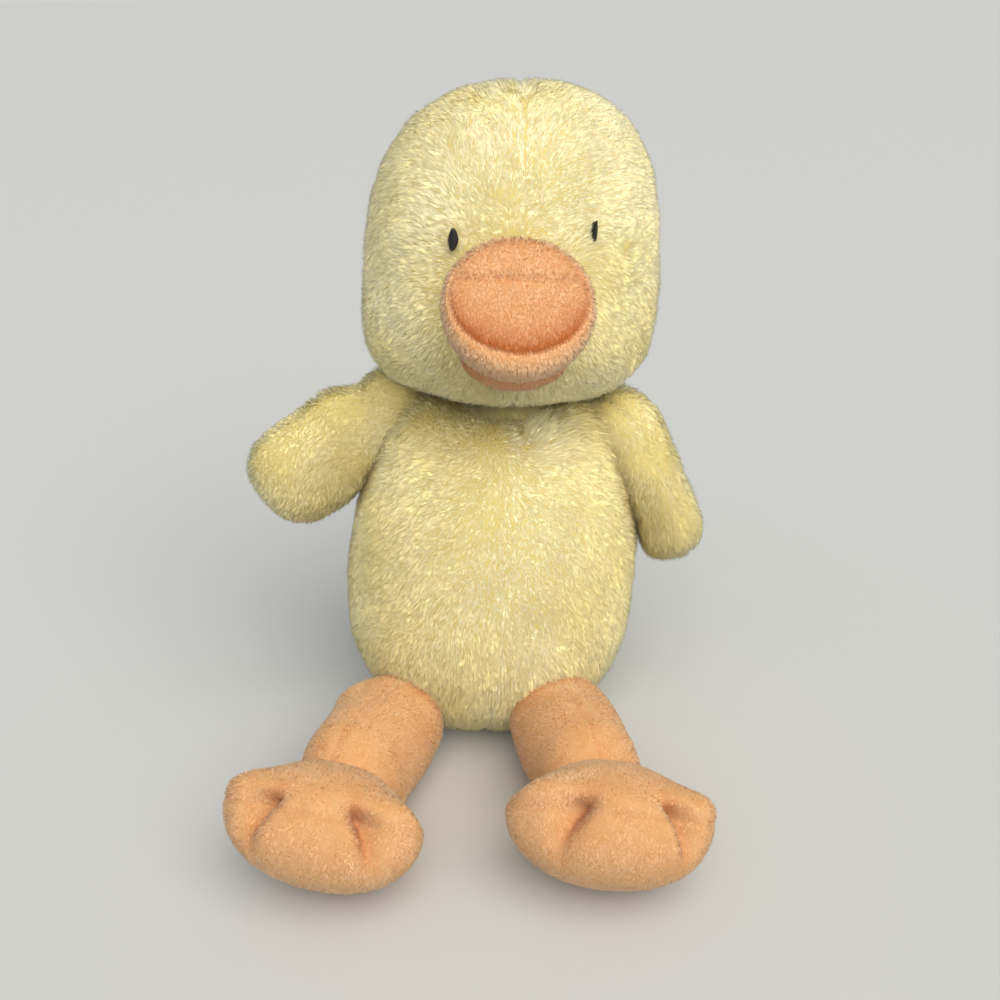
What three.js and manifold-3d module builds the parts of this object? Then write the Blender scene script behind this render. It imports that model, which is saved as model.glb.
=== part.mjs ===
// A seated plush duck: sewn fabric panels over separate stuffing, with a neck, two wings, two legs
// and two webbed feet that bend at their seams. Millimetres, +Z up. The duck faces -Y, so its left is +X.
import * as THREE from 'three';
import { mergeVertices } from 'three/addons/utils/BufferGeometryUtils.js';
import Module from 'manifold-3d';

const wasm = await Module();
wasm.setup();

// Cloth, seams and clearances
const skin = 2; // backing and laid pile of a plush panel
const seamGap = 0.3; // between two panels, and round what is sewn on top of a panel
const fillGap = 1.2; // a stuffing's facets inside its panels, which it meets at its corners
const jointGap = 0.4; // round the rounded root of a limb
const rootSlack = 0.1; // round the root of a wing, where the flat beside it ends
const restDepth = 0.5; // how deep the floor cuts a form that stands on it
const restSoftness = 2.2; // how gradually a form flattens onto the floor
const overrun = 400; // how far every cutting block reaches

// Body, a pear that leans back and to its left, in millimetres and degrees
const bodyHalfWidth = 53;
const bodyHalfDepth = 44;
const bodyBelow = 54; // widest ring down to the round bottom
const bodyAbove = 74; // widest ring up to the top
const bodySink = 5; // how much of the round bottom the seat flattens
const bodyPowerBelow = 2.1;
const bodyPowerAbove = 2.6;
const bodyLeanBackAngle = 8;
const bodyLeanSideAngle = 6;
const bodySeamTurnAngle = 6; // the seams have slipped this far round, to the duck's left

// Neck, a short drawn-in roll with a rounded top
const neckRadius = 17;
const neckHeight = 3.5; // top of the body to the bottom of the head
const neckSeatDrop = 2.5; // how far under its top the body is flat for the neck
const neckBallRadius = 22;
const neckBallDip = 5; // how deep the rounded top goes into the head

// Head, a dome with full cheeks
const headHalfWidth = 49.5;
const headHalfDepth = 47;
const headBelow = 36;
const headAbove = 67;
const headPowerBelow = 2.5;
const headPowerAbove = 2.5;
const headLeanBackAngle = 8;
const headLeanSideAngle = 3;
const headTurnAngle = 3; // to the duck's left is positive

// Bill: an oval top panel, the underside that rolls up round it, and a lip below
const billSkin = 1.4;
const billHeight = 3; // middle of the bill above the head's widest ring
const billReach = 8.8; // middle of the bill in front of the face
const billAside = 2; // how far the bill is sewn off the middle, to the duck's right
const billTilt = 27; // how far the top panel looks up
const billHalfWidth = 23.6;
const billHalfLength = 21;
const billAbove = 8;
const billBelow = 18;
const billPower = 2.5;
const billSeamHeight = 4.4; // seam of the top panel above the middle of the bill
const billSeamTilt = 8; // of that seam, higher towards the tip
const lipDrop = 16; // middle of the lip under the middle of the bill
const lipReach = 4;
const lipHalfWidth = 16.5;
const lipHalfLength = 11;
const lipHalfHeight = 10;
const lipPower = 2;
const lipTilt = 12;

// Eyes, satin stitch
const eyeSpread = 21; // each eye from the middle seam
const eyeHeight = 22.8; // above the head's widest ring
const eyeSlant = 1.9; // how much higher the left eye is sewn, and how much lower the right one
const eyeHalfWidth = 1.7;
const eyeHalfHeight = 3.5;
const eyeHalfDepth = 1.6;
const eyePower = 2;

// Wings, flat padded paddles
const wingLength = 56; // shoulder seam to tip
const wingHalfWidth = 19;
const wingHalfThickness = 13;
const wingPower = 3;
const wingWidestShare = 0.62; // of the wing's length, from the shoulder
const wingSwellShare = 0.32; // of its length, where it has swelled to its full width
const shoulderRadius = 13.5;
const shoulderDip = 2.5; // how deep the rounded root sits in the body
const shoulderHeightShare = 0.9; // of the body's height above its widest ring
const rightWingDroopAngle = 31; // below the horizontal
const leftWingDroopAngle = 64;
const wingTurnAngle = 6; // how far each wing points to the front
const rightWingRollAngle = 0;
const leftWingRollAngle = 55; // its broad face lies against the body
const wingFlatTilt = 26; // of the flat on the inner side of a wing, which lies against the body

// Legs, tubes that lie on the floor
const legHalfWidth = 18.5;
const legLength = 26.5; // hip seam to ankle seam
const hipRadius = 18;
const hipSpread = 30;
const hipForward = 34;
const ankleRadius = 16.5;
const legLift = 0.5; // under each leg
const rightLegSplayAngle = 21;
const leftLegSplayAngle = 14.5;
const legTubeShare = 0.5; // of a leg's rings, before those of its rounded ankle

// Feet, toes up, each with two pinches between three toes and a knob on each outer toe
const footSkin = 1.6;
const footHalfWidth = 30.5;
const footToe = 29; // middle of the foot to the toe edge
const footHeel = 25;
const footAbove = 21;
const footBelow = 22;
const footPowerAbove = 2;
const footPowerBelow = 2.2;
const footTaperShare = 0.36; // how much narrower than in the middle it is at the heel, and wider at the toes
const footSlimShare = 0.15; // how much narrower it is at the top
const footPitchAngle = 46;
const footReach = 25; // ankle seam to the middle of the foot
const footLift = 3; // middle of the foot above the middle of the ankle
const rightFootAside = 3.5; // to the duck's left
const leftFootAside = 0;
const rightFootTurnAngle = 10; // outwards
const leftFootTurnAngle = -9;
const rightFootRollAngle = 5; // its outer edge up
const leftFootRollAngle = 0;
const rightToeTurnAngle = 2; // how far the middle toe has slipped to the duck's left
const leftToeTurnAngle = 12;
const pinchDepth = 7;
const pinchAbove = 8; // how far each pinch reaches up the foot
const pinchBelow = 15;
const pinchAngle = 30; // each pinch from the middle toe
const pinchSpanAngle = 8;
const knobHeight = 5;
const knobRadius = 7;
const knobReach = 9; // how far each knob reaches up and down the foot
const knobAngle = 52; // each knob from the middle toe
const knobOutShare = 0.92; // its middle, of the way out to the edge

// Tail, a small flat cone low on the back
const tailLength = 24;
const tailHalfWidth = 15;
const tailHalfThickness = 7.5;
const tailPower = 2.2;
const tailHeight = 17; // of its root above the floor
const tailInset = 8; // how far its root starts inside the body's outline
const tailRiseAngle = 18; // above the horizontal

// Facets round a form and along it
const bodySides = 24;
const bodyRings = 10;
const rootSides = 20;
const limbSides = 14;
const limbRings = 8;
const footSides = 32;
const footRings = 6;
const billSides = 16;
const billRings = 6;
const eyeSides = 8;
const eyeRings = 4;
const fillFacetShare = 0.65; // facets of a stuffing, of those of its skin

const plush = { color: '#e6e0a8', roughness: 0.95, metalness: 0 };
const velour = { color: '#e0a878', roughness: 0.9, metalness: 0 };
const fibre = { color: '#f4f2ec', roughness: 1, metalness: 0 };
const thread = { color: '#1d1c1e', roughness: 0.55, metalness: 0 };

const rad = THREE.MathUtils.degToRad;
const xAxis = new THREE.Vector3(1, 0, 0);
const yAxis = new THREE.Vector3(0, 1, 0);
const zAxis = new THREE.Vector3(0, 0, 1);

// A closed three.js mesh as a solid that can be joined and cut
function toSolid(geometry) {
  geometry.deleteAttribute('normal');
  geometry.deleteAttribute('uv');
  const merged = mergeVertices(geometry);
  const index = merged.index.array;
  const triVerts = [];
  for (let i = 0; i < index.length; i += 3) {
    const [a, b, c] = [index[i], index[i + 1], index[i + 2]];
    if (a !== b && b !== c && a !== c) {
      triVerts.push(a, b, c);
    }
  }
  return new wasm.Manifold(new wasm.Mesh({
    numProp: 3,
    vertProperties: new Float32Array(merged.attributes.position.array),
    triVerts: new Uint32Array(triVerts),
  }));
}

function toGeometry(solid) {
  const mesh = solid.getMesh();
  const geometry = new THREE.BufferGeometry();
  geometry.setAttribute('position', new THREE.BufferAttribute(new Float32Array(mesh.vertProperties), 3));
  geometry.setIndex(new THREE.BufferAttribute(new Uint32Array(mesh.triVerts), 1));
  geometry.computeVertexNormals();
  return geometry;
}

// Moves every vertex of a geometry by a rule
function reshape(geometry, rule) {
  const places = geometry.attributes.position;
  const place = new THREE.Vector3();
  for (let i = 0; i < places.count; i += 1) {
    place.fromBufferAttribute(places, i);
    rule(place);
    places.setXYZ(i, place.x, place.y, place.z);
  }
  return geometry;
}

// A frame at a place, turned by a list of axes and degrees
function pose(place, ...turns) {
  const matrix = new THREE.Matrix4().makeTranslation(place);
  for (const [axis, degrees] of turns) {
    matrix.multiply(new THREE.Matrix4().makeRotationAxis(axis, rad(degrees)));
  }
  return matrix;
}

// The layers of a stuffed form: its outer face, the inner face of its skin, and its stuffing
const outside = { inset: 0, facetShare: 1 };
const lining = (thickness) => ({ inset: thickness, facetShare: 1 });
const filling = (thickness) => ({ inset: thickness + fillGap, facetShare: fillFacetShare });
const clearOf = { inset: -seamGap, facetShare: 1 };

// A stuffed form round +Z: half a superellipse above its widest ring and half of another below it
function plumpForm(form, layer) {
  const halfWidth = form.halfWidth - layer.inset;
  const rings = 2 * Math.round((form.rings * layer.facetShare) / 2);
  const sides = 2 * Math.round((form.sides * layer.facetShare) / 2);
  const points = [];
  for (let i = 0; i <= rings; i += 1) {
    const angle = (i / rings - 1 / 2) * Math.PI;
    const power = angle < 0 ? form.powerBelow : form.powerAbove;
    const reach = (angle < 0 ? form.below : form.above) - layer.inset;
    const height = reach * Math.sign(angle) * Math.abs(Math.sin(angle)) ** (2 / power);
    const radius = i === 0 || i === rings ? 0 : halfWidth * Math.cos(angle) ** (2 / power);
    points.push(new THREE.Vector2(radius, height));
  }
  const geometry = new THREE.LatheGeometry(points, sides);
  geometry.rotateX(Math.PI / 2);
  geometry.scale(1, (form.halfDepth - layer.inset) / halfWidth, 1);
  return geometry;
}

// A limb along +Z: a round root about the origin, then a swelling that ends in a blunt or round tip
function limbForm(form, layer) {
  const root = form.rootRadius - layer.inset;
  const sides = 2 * Math.round((form.sides * layer.facetShare) / 2);
  const rings = Math.round(form.rings * layer.facetShare);
  const stations = [];
  for (let i = 0; i < rings / 2; i += 1) {
    const angle = (i / rings) * Math.PI;
    stations.push([-root * Math.cos(angle), root * Math.sin(angle), root * Math.sin(angle)]);
  }
  for (let i = 0; i <= rings; i += 1) {
    stations.push(form.stationAt(i / rings, root, layer.inset));
  }
  const points = stations.map(([along, width]) => new THREE.Vector2(width, along));
  const geometry = new THREE.LatheGeometry(points, sides);
  geometry.rotateX(Math.PI / 2);
  const places = geometry.attributes.position;
  for (let i = 0; i < places.count; i += 1) {
    const [, width, depth] = stations[i % stations.length];
    places.setY(i, width > 0 ? (places.getY(i) * depth) / width : 0);
  }
  return geometry;
}

// Half width of a form at a height over its widest ring, and its front beside its middle seam
function widthAt(form, height) {
  const power = height < 0 ? form.powerBelow : form.powerAbove;
  const reach = height < 0 ? form.below : form.above;
  return form.halfWidth * (1 - Math.abs(height / reach) ** power) ** (1 / power);
}

// How far a form reaches towards a tilt over its widest ring
function reachAt(form, tilt) {
  const dual = form.powerAbove / (form.powerAbove - 1);
  const aside = (form.halfWidth * Math.cos(rad(tilt))) ** dual;
  const up = (form.above * Math.sin(rad(tilt))) ** dual;
  return (aside + up) ** (1 / dual);
}

function frontAt(form, beside, height) {
  const width = widthAt(form, height);
  return -Math.sqrt(width * width - beside * beside) * (form.halfDepth / form.halfWidth);
}

function ball(radius, centre, sides) {
  const geometry = new THREE.SphereGeometry(radius, sides, sides / 2);
  geometry.translate(centre.x, centre.y, centre.z);
  return toSolid(geometry);
}

// A ball whose flattest facets are still a radius away, and the dimple it makes for a rounded root
const ballAround = (radius, centre) => ball(radius / Math.cos(Math.PI / rootSides) ** 2, centre, rootSides);
const dimple = (rootRadius, centre, layer) => ballAround(rootRadius + jointGap + layer.inset, centre);

// A cutting block that fills one side of a plane of a frame
function beyond(frame, normal, offset) {
  const block = new THREE.BoxGeometry(overrun, overrun, overrun);
  block.translate(0, 0, overrun / 2 + offset);
  block.applyQuaternion(new THREE.Quaternion().setFromUnitVectors(zAxis, normal));
  block.applyMatrix4(frame);
  return toSolid(block);
}

const sideOf = (frame, axis, way) => beyond(frame, axis.clone().multiplyScalar(way), seamGap / 2);

// Flattens a posed form where it meets the floor, which it sinks into by restDepth before it is cut
function settle(formOf, layer) {
  const flattened = (geometry) => reshape(geometry, (place) => {
    place.z = restSoftness * Math.log(1 + Math.exp(place.z / restSoftness));
  });
  const outer = flattened(formOf(outside));
  outer.computeBoundingBox();
  const form = flattened(formOf(layer)).translate(0, 0, -restDepth - outer.boundingBox.min.z);
  return toSolid(form).subtract(beyond(new THREE.Matrix4(), zAxis.clone().negate(), -layer.inset));
}

const duck = new THREE.Group();

// A group that stands at a joint, so its pieces turn about it
function groupAt(parent, place) {
  const group = new THREE.Group();
  parent.add(group);
  group.position.copy(parent.worldToLocal(place.clone()));
  group.updateMatrixWorld(true);
  return group;
}

function addPiece(group, name, solid, finish) {
  const geometry = toGeometry(solid);
  const place = group.getWorldPosition(new THREE.Vector3());
  geometry.translate(-place.x, -place.y, -place.z);
  const mesh = new THREE.Mesh(geometry, new THREE.MeshStandardMaterial(finish));
  mesh.name = name;
  group.add(mesh);
}

// Adds the panels of a stuffed form, one for each cutting block, and the stuffing inside them
function addStuffed(group, name, solidOf, thickness, finish, panels) {
  const shell = solidOf(outside).subtract(solidOf(lining(thickness)));
  for (const [panel, blocks] of Object.entries(panels)) {
    const cut = blocks.reduce((left, block) => left.intersect(block), shell);
    addPiece(group, `${name}_${panel}`, cut, finish);
  }
  addPiece(group, `${name}_stuffing`, solidOf(filling(thickness)), fibre);
}

// Frames of the body, neck and head, each at its own widest ring or pivot
const bodyTurns = [[yAxis, bodyLeanSideAngle], [xAxis, -bodyLeanBackAngle]];
const spine = zAxis.clone().transformDirection(pose(new THREE.Vector3(), ...bodyTurns));
const bodyFrame = pose(spine.clone().multiplyScalar((bodyBelow - bodySink) / spine.z), ...bodyTurns);
const seamFrame = bodyFrame.clone().multiply(pose(new THREE.Vector3(), [zAxis, bodySeamTurnAngle]));
const neckSeat = bodyAbove - neckSeatDrop;
const neckFoot = bodyAbove + neckHeight;
const neckPivot = new THREE.Vector3(0, 0, neckFoot + neckBallDip - neckBallRadius).applyMatrix4(bodyFrame);
const headTurns = [[yAxis, headLeanSideAngle], [xAxis, -headLeanBackAngle], [zAxis, headTurnAngle]];
const headUp = zAxis.clone().transformDirection(pose(new THREE.Vector3(), ...headTurns));
const neckTop = new THREE.Vector3(0, 0, neckFoot).applyMatrix4(bodyFrame);
const headMiddle = neckTop.clone().addScaledVector(headUp, headBelow);
const headFrame = pose(headMiddle, ...headTurns);

const bodyForm = {
  halfWidth: bodyHalfWidth,
  halfDepth: bodyHalfDepth,
  above: bodyAbove,
  below: bodyBelow,
  powerAbove: bodyPowerAbove,
  powerBelow: bodyPowerBelow,
  sides: bodySides,
  rings: bodyRings,
};

// Frames of the limbs: each has a rounded root that turns in a dimple of the larger form
const right = { side: 'right', sign: -1, droop: rightWingDroopAngle, roll: rightWingRollAngle };
const left = { side: 'left', sign: 1, droop: leftWingDroopAngle, roll: leftWingRollAngle };
const rightFoot = {
  footTurn: rightFootTurnAngle,
  footRoll: rightFootRollAngle,
  aside: rightFootAside,
  toeTurn: rightToeTurnAngle,
};
const leftFoot = {
  footTurn: leftFootTurnAngle,
  footRoll: leftFootRollAngle,
  aside: leftFootAside,
  toeTurn: leftToeTurnAngle,
};
const limbs = [
  { ...right, ...rightFoot, splay: rightLegSplayAngle },
  { ...left, ...leftFoot, splay: leftLegSplayAngle },
];
for (const limb of limbs) {
  const shoulderHeight = bodyAbove * shoulderHeightShare;
  const beside = widthAt(bodyForm, shoulderHeight) + shoulderRadius - shoulderDip;
  limb.shoulder = new THREE.Vector3(limb.sign * beside, 0, shoulderHeight).applyMatrix4(bodyFrame);
  const outwards = [yAxis, limb.sign * (90 + limb.droop)];
  limb.wingFrame = pose(limb.shoulder, [zAxis, -limb.sign * wingTurnAngle], outwards, [zAxis, limb.roll]);
  limb.hip = new THREE.Vector3(limb.sign * hipSpread, -hipForward, legHalfWidth + legLift);
  limb.legFrame = pose(limb.hip, [zAxis, limb.sign * limb.splay], [xAxis, 90]);
  limb.ankle = new THREE.Vector3(0, 0, legLength).applyMatrix4(limb.legFrame);
  const footMiddle = new THREE.Vector3(0, 0, legLength + footReach).applyMatrix4(limb.legFrame);
  footMiddle.add(new THREE.Vector3(limb.aside, 0, footLift));
  const footTurns = [[zAxis, limb.sign * limb.footTurn], [xAxis, -footPitchAngle], [yAxis, limb.footRoll]];
  limb.footFrame = pose(footMiddle, ...footTurns);
}

// Body, dimpled where wings and legs are sewn in, and flat under the neck
const bodyHull = (layer) => settle((each) => plumpForm(bodyForm, each).applyMatrix4(bodyFrame), layer);
function bodySolid(layer) {
  let solid = bodyHull(layer);
  for (const limb of limbs) {
    solid = solid.subtract(dimple(shoulderRadius, limb.shoulder, layer));
    solid = solid.subtract(dimple(hipRadius, limb.hip, layer));
  }
  return solid.subtract(beyond(bodyFrame, zAxis, neckSeat - layer.inset));
}

const torso = groupAt(duck, new THREE.Vector3());
const bodyFront = sideOf(seamFrame, yAxis, -1);
addStuffed(torso, 'body', bodySolid, skin, plush, {
  front_right_panel: [bodyFront, sideOf(seamFrame, xAxis, -1)],
  front_left_panel: [bodyFront, sideOf(seamFrame, xAxis, 1)],
  back_panel: [sideOf(seamFrame, yAxis, 1)],
});

// Tail, sewn onto the back panel
const tailForm = {
  halfWidth: tailHalfWidth,
  halfDepth: tailHalfThickness,
  above: tailLength,
  below: tailHalfThickness,
  powerAbove: tailPower,
  powerBelow: tailPower,
  sides: limbSides,
  rings: limbRings,
};
const backMiddle = new THREE.Vector3(0, bodyHalfDepth - tailInset, 0).applyMatrix4(bodyFrame);
const tailFrame = pose(backMiddle.setZ(tailHeight), [xAxis, tailRiseAngle - 90]);
const tailSolid = toSolid(plumpForm(tailForm, outside).applyMatrix4(tailFrame));
addPiece(torso, 'tail', tailSolid.subtract(bodyHull(clearOf)), plush);

// Neck, flat on the body and rounded in a dimple of the head
const neckStem = new THREE.CylinderGeometry(neckRadius, neckRadius, neckBallRadius, bodySides);
neckStem.rotateX(Math.PI / 2);
neckStem.translate(0, 0, neckSeat + seamGap + neckBallRadius / 2);
const neckBall = ball(neckBallRadius, neckPivot, bodySides);
const neckGroup = groupAt(duck, neckPivot);
addPiece(neckGroup, 'neck_roll', neckBall.intersect(toSolid(neckStem.applyMatrix4(bodyFrame))), plush);

// Head, two panels that meet in the middle seam, dimpled for the neck
const headForm = {
  halfWidth: headHalfWidth,
  halfDepth: headHalfDepth,
  above: headAbove,
  below: headBelow,
  powerAbove: headPowerAbove,
  powerBelow: headPowerBelow,
  sides: bodySides,
  rings: bodyRings,
};
function headSolid(layer) {
  const solid = toSolid(plumpForm(headForm, layer).applyMatrix4(headFrame));
  return solid.subtract(dimple(neckBallRadius, neckPivot, layer));
}

const headGroup = groupAt(neckGroup, neckPivot);
addStuffed(headGroup, 'head', headSolid, skin, plush, {
  right_panel: [sideOf(headFrame, xAxis, -1)],
  left_panel: [sideOf(headFrame, xAxis, 1)],
});
const clearOfHead = toSolid(plumpForm(headForm, clearOf).applyMatrix4(headFrame));

// Eyes, which stand a little out of the face
const eyeForm = {
  halfWidth: eyeHalfWidth,
  halfDepth: eyeHalfDepth,
  above: eyeHalfHeight,
  below: eyeHalfHeight,
  powerAbove: eyePower,
  powerBelow: eyePower,
  sides: eyeSides,
  rings: eyeRings,
};
for (const limb of limbs) {
  const height = eyeHeight + limb.sign * eyeSlant;
  const front = frontAt(headForm, eyeSpread, height);
  const turn = THREE.MathUtils.radToDeg(Math.atan2(eyeSpread, -front));
  const place = new THREE.Vector3(limb.sign * eyeSpread, front, height);
  const eyeFrame = headFrame.clone().multiply(pose(place, [zAxis, limb.sign * turn]));
  const eye = toSolid(plumpForm(eyeForm, outside).applyMatrix4(eyeFrame));
  addPiece(headGroup, `eye_${limb.side}`, eye.subtract(clearOfHead), thread);
}

// Bill, cut by the face, its top panel sewn to the underside along an oval seam
const billForm = {
  halfWidth: billHalfWidth,
  halfDepth: billHalfLength,
  above: billAbove,
  below: billBelow,
  powerAbove: billPower,
  powerBelow: billPower,
  sides: billSides,
  rings: billRings,
};
const billMiddle = new THREE.Vector3(-billAside, frontAt(headForm, 0, billHeight) - billReach, billHeight);
const billFrame = headFrame.clone().multiply(pose(billMiddle, [xAxis, 90 - billTilt]));
const billSolid = (layer) =>
  toSolid(plumpForm(billForm, layer).applyMatrix4(billFrame)).subtract(clearOfHead);
const billSeam = new THREE.Vector3(0, 0, billSeamHeight).applyMatrix4(billFrame);
const billSeamFrame = pose(billSeam, ...headTurns, [xAxis, 90 - billTilt - billSeamTilt]);
addStuffed(headGroup, 'bill', billSolid, billSkin, velour, {
  top_panel: [sideOf(billSeamFrame, zAxis, 1)],
  underside_panel: [sideOf(billSeamFrame, zAxis, -1)],
});
const lipForm = {
  ...billForm,
  halfWidth: lipHalfWidth,
  halfDepth: lipHalfLength,
  above: lipHalfHeight,
  below: lipHalfHeight,
  powerAbove: lipPower,
  powerBelow: lipPower,
};
const lipHeight = billHeight - lipDrop;
const lipMiddle = new THREE.Vector3(-billAside, frontAt(headForm, 0, lipHeight) - lipReach, lipHeight);
const lipFrame = headFrame.clone().multiply(pose(lipMiddle, [xAxis, lipTilt]));
const clearOfBill = toSolid(plumpForm(billForm, clearOf).applyMatrix4(billFrame));
const lip = toSolid(plumpForm(lipForm, outside).applyMatrix4(lipFrame));
addPiece(headGroup, 'bill_lower_lip', lip.subtract(clearOfHead).subtract(clearOfBill), velour);

// Wings, each a front and a back panel sewn round the edge, cut by the head and the body
const wingForm = {
  rootRadius: shoulderRadius,
  sides: limbSides,
  rings: limbRings,
  stationAt(share, root, inset) {
    const swell = Math.sin(Math.min(share / wingSwellShare, 1) * (Math.PI / 2)) ** 2;
    const past = Math.max(share - wingWidestShare, 0) / (1 - wingWidestShare);
    const end = (1 - Math.sin(past * (Math.PI / 2)) ** wingPower) ** (1 / wingPower);
    const along = (wingWidestShare * Math.min(share / wingWidestShare, 1)
      + (1 - wingWidestShare) * Math.sin(past * (Math.PI / 2))) * (wingLength - inset);
    const width = (root + (wingHalfWidth - shoulderRadius) * swell) * end;
    const depth = (root + (wingHalfThickness - shoulderRadius) * swell) * end;
    return share === 1 ? [along, 0, 0] : [along, width, depth];
  },
};
function wingSolid(limb, layer) {
  const towardsBody = -limb.sign * Math.cos(rad(wingFlatTilt));
  const inwards = new THREE.Vector3(towardsBody, 0, -Math.sin(rad(wingFlatTilt)));
  const flat = beyond(bodyFrame, inwards, -reachAt(bodyForm, wingFlatTilt) - seamGap - layer.inset);
  const root = ballAround(shoulderRadius + rootSlack - layer.inset, limb.shoulder);
  return toSolid(limbForm(wingForm, layer).applyMatrix4(limb.wingFrame)).subtract(flat.subtract(root));
}

for (const limb of limbs) {
  const wing = groupAt(duck, limb.shoulder);
  addStuffed(wing, `wing_${limb.side}`, (layer) => wingSolid(limb, layer), skin, plush, {
    front_panel: [sideOf(limb.wingFrame, yAxis, -1)],
    back_panel: [sideOf(limb.wingFrame, yAxis, 1)],
  });
}

// Legs, each one panel rolled into a tube with its seam at the front, rounded in the body and the foot
const legForm = {
  rootRadius: hipRadius,
  sides: limbSides,
  rings: limbRings,
  stationAt(share, root, inset) {
    if (share <= legTubeShare) {
      const on = share / legTubeShare;
      const bulge = (legHalfWidth - (hipRadius + ankleRadius) / 2) * Math.sin(on * Math.PI);
      const radius = hipRadius + (ankleRadius - hipRadius) * on + bulge - inset;
      return [on * legLength, radius, radius];
    }
    const angle = ((share - legTubeShare) / (1 - legTubeShare)) * (Math.PI / 2);
    const radius = share === 1 ? 0 : (ankleRadius - inset) * Math.cos(angle);
    return [legLength + (ankleRadius - inset) * Math.sin(angle), radius, radius];
  },
};
function legSolid(limb, layer) {
  return toSolid(limbForm(legForm, layer).applyMatrix4(limb.legFrame));
}

// Feet, each an upper and a sole panel sewn along a three-lobed toe edge
const footForm = {
  halfWidth: footHalfWidth,
  halfDepth: (footToe + footHeel) / 2,
  above: footAbove,
  below: footBelow,
  powerAbove: footPowerAbove,
  powerBelow: footPowerBelow,
  sides: footSides,
  rings: footRings,
};
function footShape(limb, layer) {
  const form = reshape(plumpForm(footForm, { ...layer, facetShare: 1 }), (place) => {
    const angle = THREE.MathUtils.radToDeg(Math.atan2(place.x, -place.y)) - limb.toeTurn;
    const grow = footForm.halfWidth / (footForm.halfWidth - layer.inset);
    const flat = new THREE.Vector2(place.x, place.y).multiplyScalar(grow);
    const out = Math.hypot(flat.x / footForm.halfWidth, flat.y / footForm.halfDepth);
    const up = place.z;
    place.x *= 1 - (footTaperShare * flat.y) / footForm.halfDepth;
    place.x *= 1 - (footSlimShare * Math.max(up, 0)) / footForm.above;
    for (const way of [-1, 1]) {
      const edge = Math.exp(-((up / (up > 0 ? pinchAbove : pinchBelow)) ** 2)) * out ** 2;
      const pinch = Math.exp(-(((angle - way * pinchAngle) / pinchSpanAngle) ** 2)) * edge;
      place.multiplyScalar(1 - (pinchDepth / footForm.halfWidth) * pinch);
      const turn = rad(way * knobAngle + limb.toeTurn);
      const aside = flat.x - knobOutShare * footForm.halfWidth * Math.sin(turn);
      const ahead = flat.y + knobOutShare * footForm.halfDepth * Math.cos(turn);
      const away = Math.hypot(aside, ahead) / knobRadius;
      place.z += knobHeight * Math.exp(-(away ** 2) - (up / knobReach) ** 2);
    }
  });
  return form.translate(0, (footHeel - footToe) / 2, 0).applyMatrix4(limb.footFrame);
}
const footSolid = (limb, layer) => (
  settle((each) => footShape(limb, each), layer).subtract(dimple(ankleRadius, limb.ankle, layer))
);

for (const limb of limbs) {
  const leg = groupAt(duck, limb.hip);
  const slot = new THREE.BoxGeometry(seamGap, overrun, overrun);
  slot.translate(0, overrun / 2, 0);
  const tube = legSolid(limb, outside).subtract(legSolid(limb, lining(skin)));
  addPiece(leg, `leg_${limb.side}_panel`, tube.subtract(toSolid(slot.applyMatrix4(limb.legFrame))), velour);
  addPiece(leg, `leg_${limb.side}_stuffing`, legSolid(limb, filling(skin)), fibre);
  const foot = groupAt(leg, limb.ankle);
  addStuffed(foot, `foot_${limb.side}`, (layer) => footSolid(limb, layer), footSkin, velour, {
    upper_panel: [sideOf(limb.footFrame, zAxis, 1)],
    sole_panel: [sideOf(limb.footFrame, zAxis, -1)],
  });
}

// The origin is on the floor, under the middle of the duck's box
duck.updateMatrixWorld(true);
const middle = new THREE.Box3().setFromObject(duck, true).getCenter(new THREE.Vector3());
duck.position.set(-middle.x, -middle.y, 0);
duck.updateMatrixWorld(true);

export default duck;
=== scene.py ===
import math

import bmesh
import bpy
import numpy as np
from mathutils import Matrix, Vector
from mathutils.bvhtree import BVHTree


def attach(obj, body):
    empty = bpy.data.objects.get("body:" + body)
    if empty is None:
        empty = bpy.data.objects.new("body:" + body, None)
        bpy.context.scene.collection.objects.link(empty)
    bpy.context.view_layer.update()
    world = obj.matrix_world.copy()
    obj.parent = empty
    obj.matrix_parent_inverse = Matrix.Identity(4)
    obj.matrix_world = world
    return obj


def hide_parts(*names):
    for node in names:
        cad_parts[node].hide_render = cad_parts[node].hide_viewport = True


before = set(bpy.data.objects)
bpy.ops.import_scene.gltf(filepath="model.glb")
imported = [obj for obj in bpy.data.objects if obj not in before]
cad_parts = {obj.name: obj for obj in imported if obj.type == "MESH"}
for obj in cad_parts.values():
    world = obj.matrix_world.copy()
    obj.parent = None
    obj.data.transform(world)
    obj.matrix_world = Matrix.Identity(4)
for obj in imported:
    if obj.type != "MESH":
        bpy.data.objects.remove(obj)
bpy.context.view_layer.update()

# The view: a camera a forearm's length in front of the duck's feet, looking down by 27 degrees,
# soft daylight from a large window above, and a plain pale floor.
MM = 0.001
camera = bpy.data.objects.new("camera", bpy.data.cameras.new("camera"))
camera.data.sensor_width = 36.0
camera.data.lens = 36.04
camera.matrix_world = (
    Matrix.Translation((0.0080, -0.3002, 0.255))
    @ Matrix.Rotation(math.radians(63.0), 4, "X")
    @ Matrix.Rotation(math.radians(-1.09), 4, "Z")
)
bpy.context.collection.objects.link(camera)
bpy.context.scene.camera = camera
bpy.context.scene.view_settings.view_transform = "Standard"


def linear(code, alpha=1.0):
    """An sRGB hex colour as the linear values that Blender mixes."""
    parts = [int(code[i:i + 2], 16) / 255 for i in (1, 3, 5)]
    return (*(c / 12.92 if c <= 0.04045 else ((c + 0.055) / 1.055) ** 2.4 for c in parts), alpha)


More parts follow.
